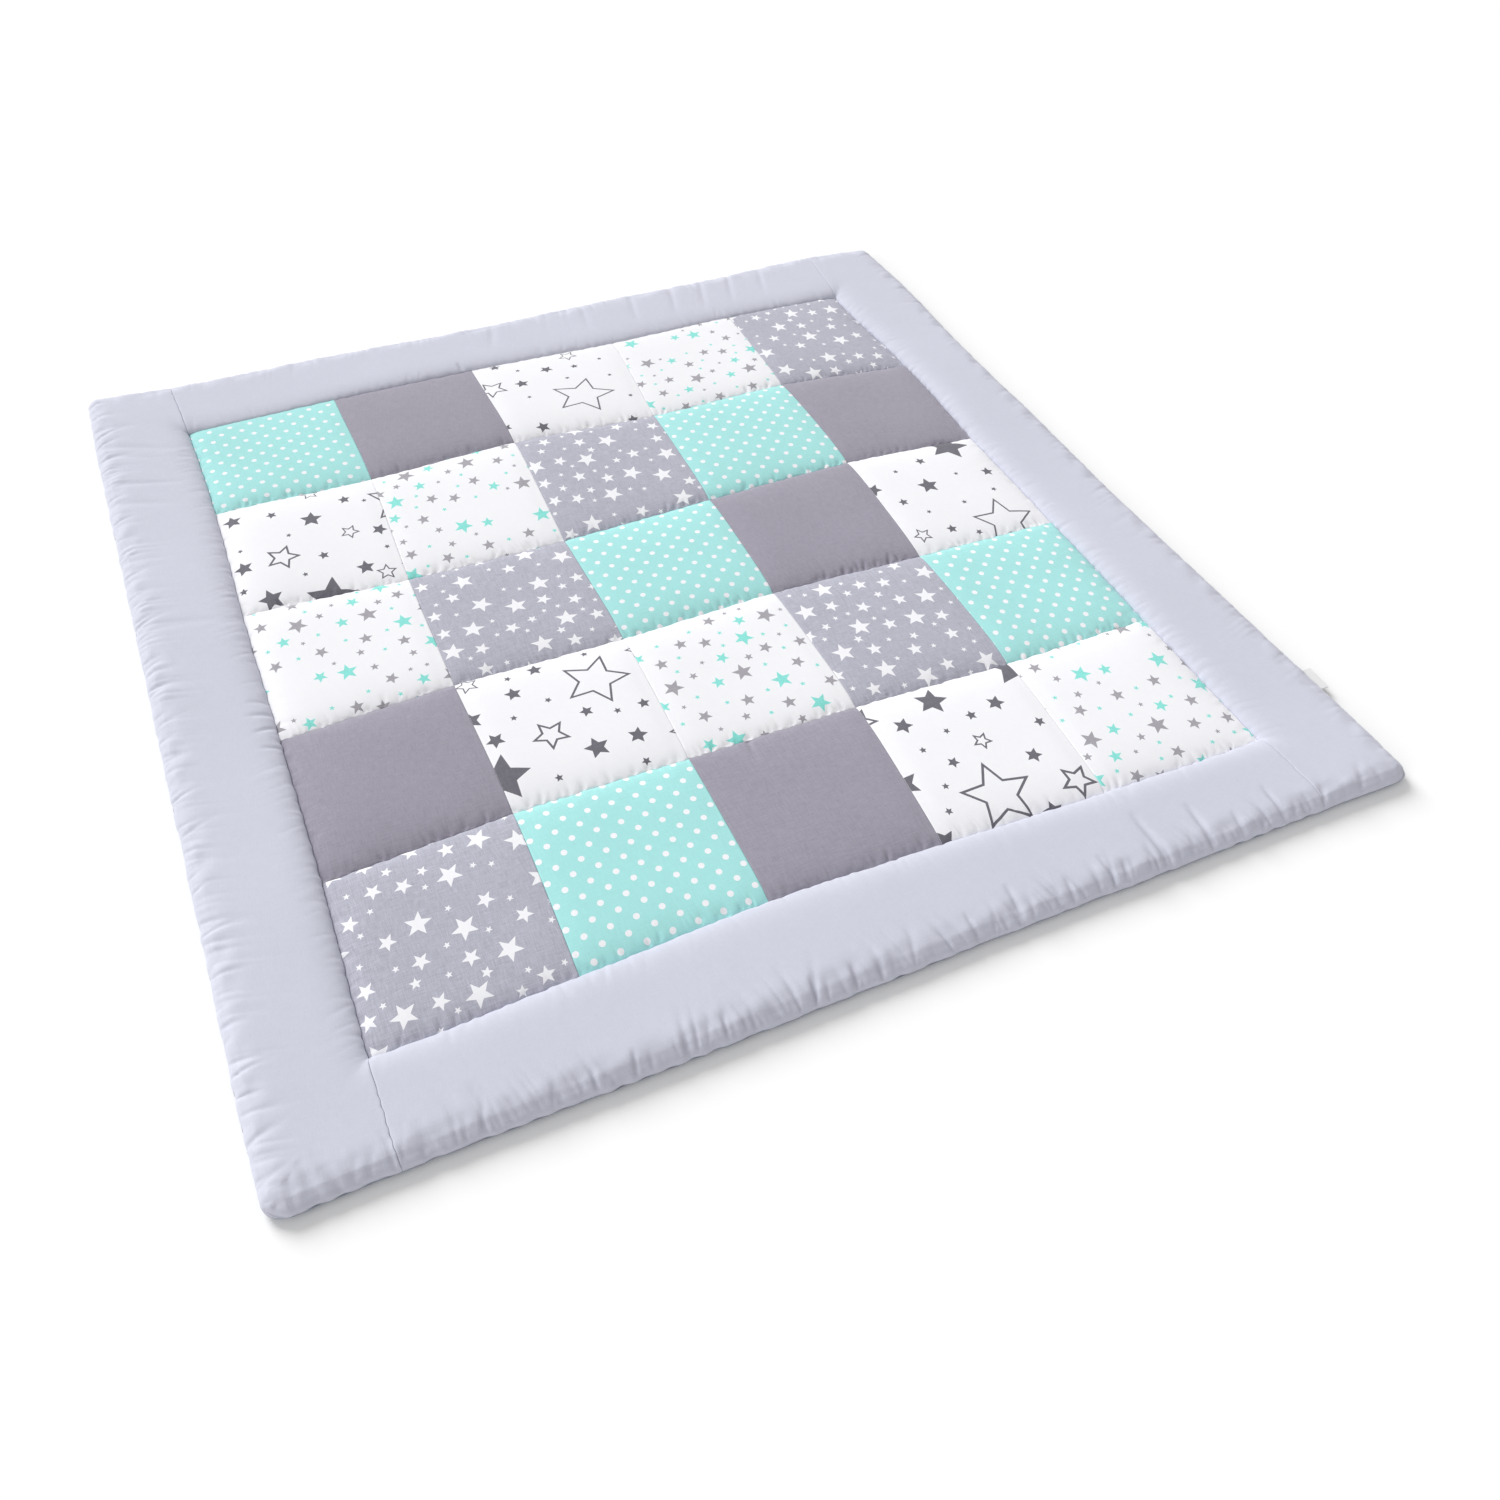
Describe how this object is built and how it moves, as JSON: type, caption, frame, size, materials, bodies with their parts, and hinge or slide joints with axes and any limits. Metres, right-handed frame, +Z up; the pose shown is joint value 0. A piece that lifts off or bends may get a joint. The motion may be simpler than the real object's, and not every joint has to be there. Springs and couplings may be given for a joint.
{
  "type": "baby play mat",
  "caption": "Square padded play mat for a baby: a quilted patchwork field inside four puffed border strips, over one backing cloth, lying flat on the floor.",
  "frame": {"origin": "on the floor, under the middle of the mat's even square plan, on the backing's underside", "axes": "+X runs to the right along the front edge, +Y runs to the back edge, +Z is up"},
  "size_m": [1.2253, 1.2057, 0.0246],
  "materials": {
    "patchwork": "matte woven cotton",
    "border": "matte woven cotton",
    "backing": "matte woven cotton",
    "label": "satin tape"
  },
  "bodies": {
    "root": {"quilted_field": "patchwork", "border_left": "border", "border_right": "border", "border_back": "border", "border_front": "border", "backing": "backing", "side_label": "label"}
  },
  "joints": []
}
